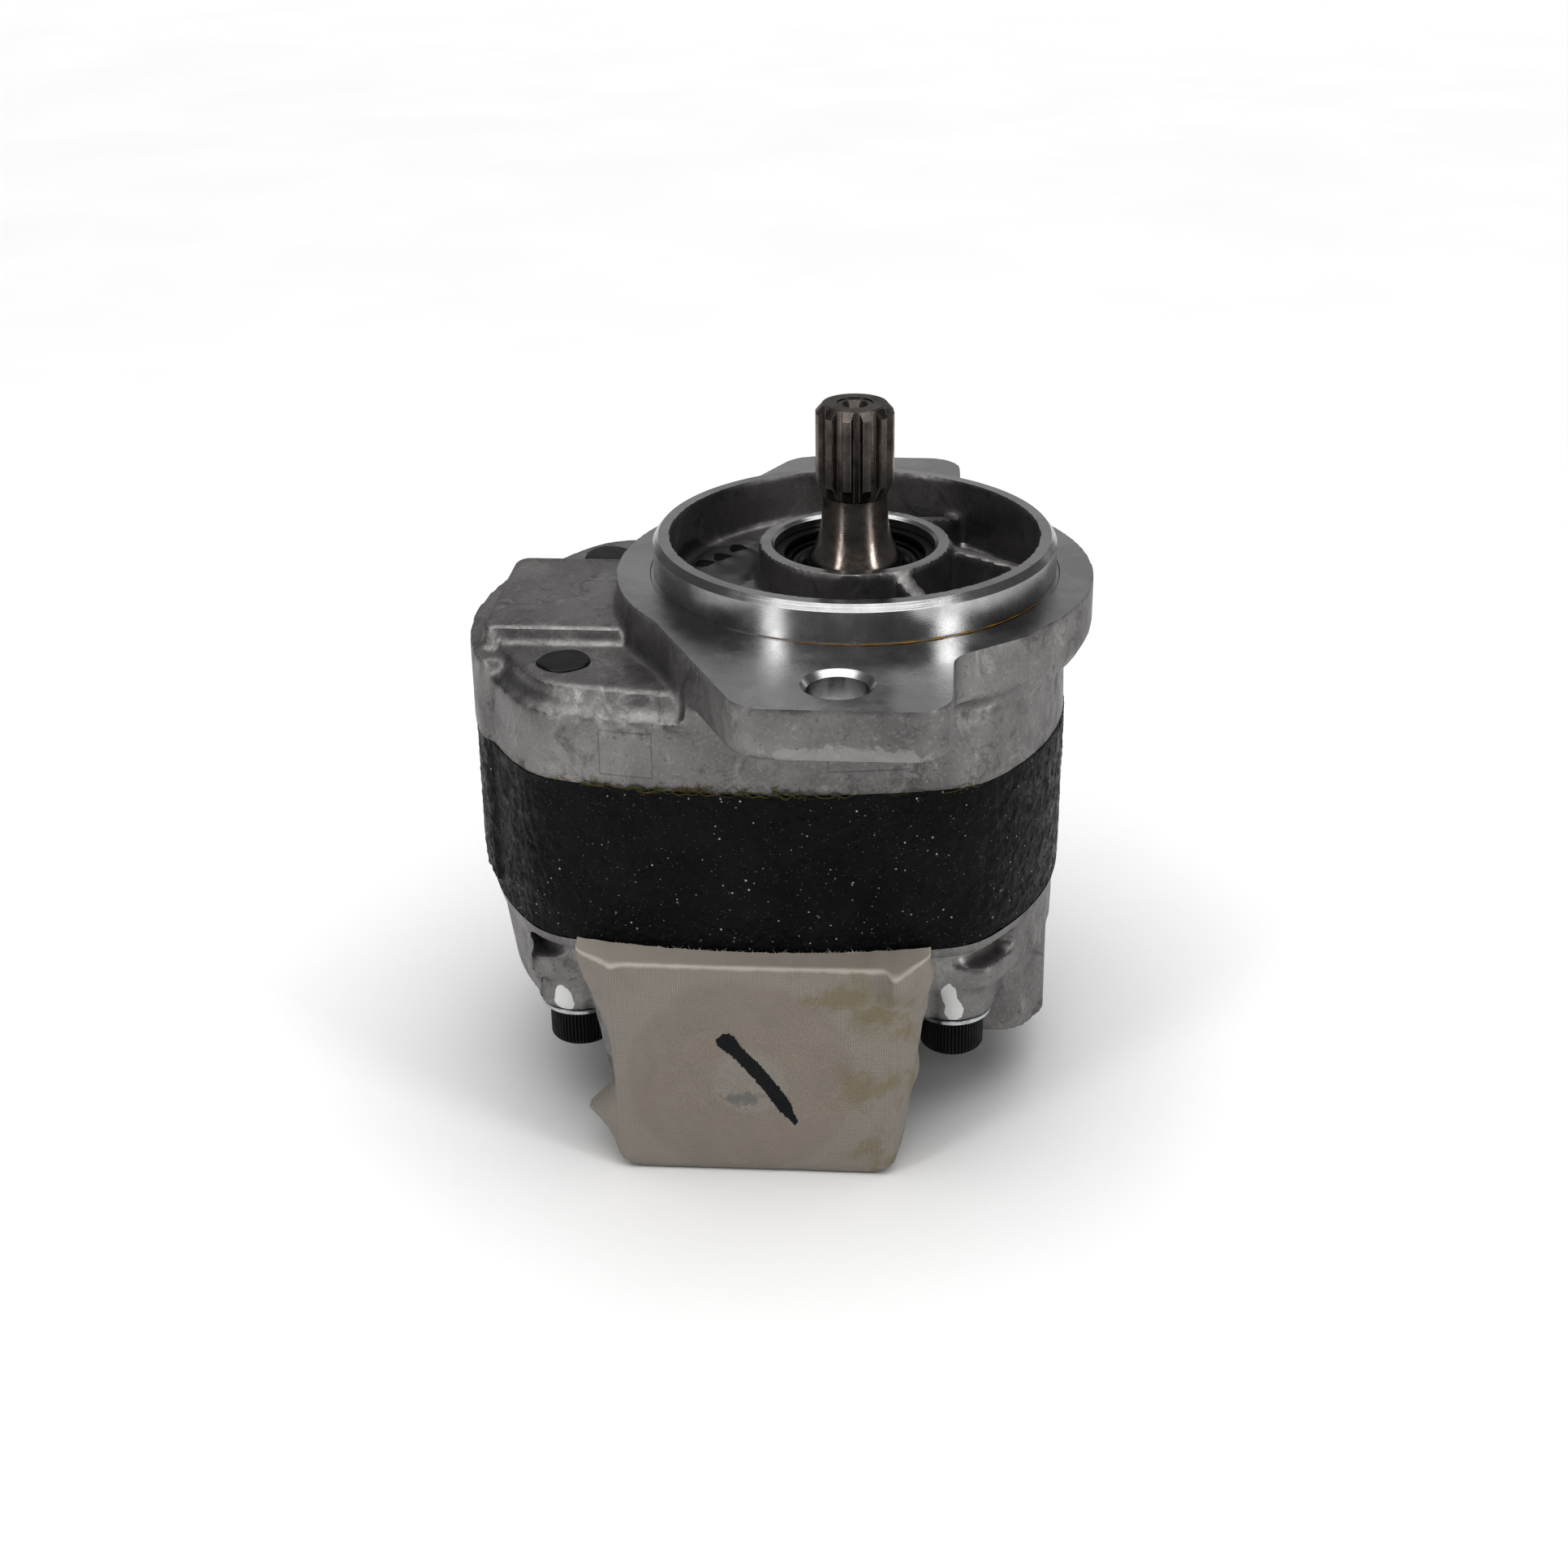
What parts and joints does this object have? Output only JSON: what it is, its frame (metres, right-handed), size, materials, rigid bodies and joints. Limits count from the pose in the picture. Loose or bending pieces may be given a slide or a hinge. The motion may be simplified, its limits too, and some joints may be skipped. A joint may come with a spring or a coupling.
{
  "type": "external gear pump",
  "caption": "Flange-mounted hydraulic gear pump: splined drive shaft in a piloted cast front cover, black gear body, and a bolted rear cover with taped side ports.",
  "frame": {"origin": "middle of the bounding box at the base, under the port housing", "axes": "+Z along the drive shaft, outwards from the mounting face; +X from the driven gear towards the drive gear; -Y faces the taped front port"},
  "size_m": [0.158, 0.175, 0.1802],
  "materials": {
    "cast_aluminium": "raw die casting, machined and mirror-bright on the flange face, pilot and joint faces",
    "black_iron": "cast iron with black paint over a rough skin",
    "shaft_steel": "dark oiled ground steel",
    "gear_steel": "ground steel",
    "black_steel": "black oxide",
    "bronze": "bearing bronze",
    "rubber": "black nitrile",
    "backup": "filled PTFE",
    "zinc": "zinc plated",
    "sealant": "hardened black thread sealant",
    "tape": "beige-grey woven cloth tape"
  },
  "bodies": {
    "housing": {"front_cover": "cast_aluminium", "rear_cover": "cast_aluminium", "gear_body": "black_iron", "bush_front_drive": "bronze", "bush_front_driven": "bronze", "wear_plate_front": "bronze", "plate_seal_front": "rubber", "plate_backup_front": "backup", "section_seal_front": "rubber", "dowel_front_1": "gear_steel", "dowel_front_2": "gear_steel", "bush_rear_drive": "bronze", "bush_rear_driven": "bronze", "wear_plate_rear": "bronze", "plate_seal_rear": "rubber", "plate_backup_rear": "backup", "section_seal_rear": "rubber", "dowel_rear_1": "gear_steel", "dowel_rear_2": "gear_steel", "shaft_seal_case": "black_steel", "shaft_seal_lip": "rubber", "garter_spring": "gear_steel", "retaining_ring": "black_steel", "bolt_1": "black_steel", "washer_1": "zinc", "bolt_2": "black_steel", "washer_2": "zinc", "bolt_3": "black_steel", "washer_3": "zinc", "bolt_4": "black_steel", "washer_4": "zinc", "thread_seal_1": "sealant", "thread_seal_2": "sealant", "port_tape_front": "tape", "port_tape_back": "tape", "drain_plug": "zinc"},
    "drive": {"drive_gear_shaft": "shaft_steel"},
    "driven": {"driven_gear_shaft": "gear_steel"}
  },
  "joints": [
    {"name": "drive_spin", "type": "hinge", "parent": "housing", "child": "drive", "pos_m": [0.01875, 0, 0.0885], "axis": [0, 0, 1], "continuous": true},
    {"name": "driven_spin", "type": "hinge", "parent": "housing", "child": "driven", "pos_m": [-0.02325, 0, 0.0885], "axis": [0, 0, 1], "continuous": true}
  ],
  "couplings": [
    {"joint": "driven_spin", "follows": "drive_spin", "ratio": -1}
  ]
}
